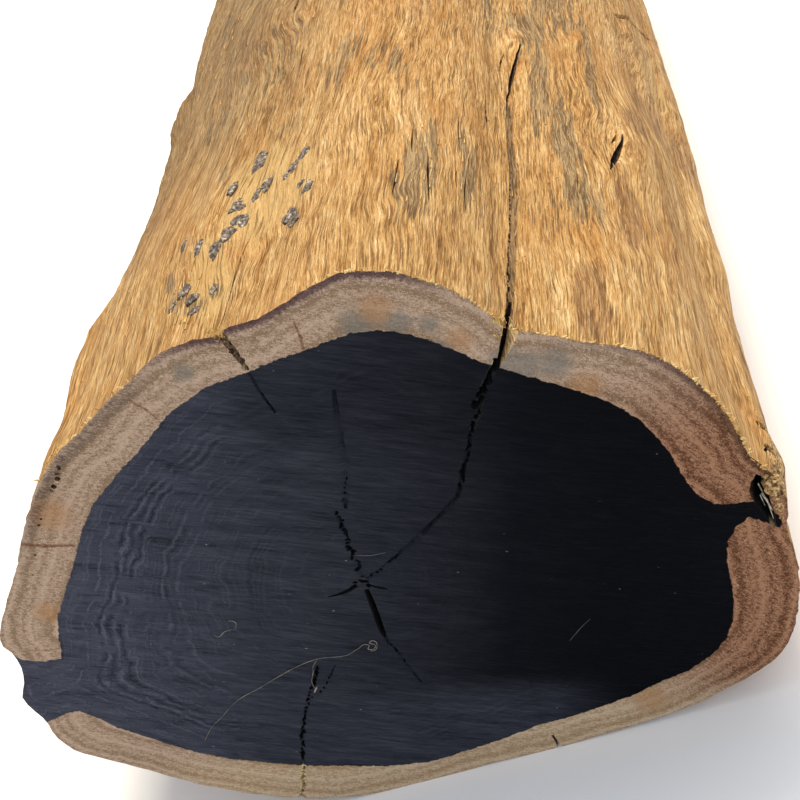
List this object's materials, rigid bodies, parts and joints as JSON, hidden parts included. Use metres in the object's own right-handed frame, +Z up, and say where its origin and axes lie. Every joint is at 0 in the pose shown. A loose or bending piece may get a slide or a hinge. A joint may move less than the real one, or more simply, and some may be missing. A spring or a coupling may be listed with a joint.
{
  "type": "african blackwood blank",
  "caption": "Debarked hardwood log blank lying on its side, sawn flat at both ends, with a dark heart, a pale sapwood ring and drying checks.",
  "frame": {"origin": "middle of the footprint, at the surface that the log rests on", "axes": "+Z up; the log lies along Y with its checked front face towards -Y; +X to the right as seen from that face"},
  "size_m": [0.2088, 0.457, 0.1605],
  "materials": {
    "blackwood": "bare, weathered to golden tan outside; sawn end faces with near-black heartwood inside a pinkish-brown sapwood ring"
  },
  "bodies": {
    "root": {"blackwood_log": "blackwood"}
  },
  "joints": []
}
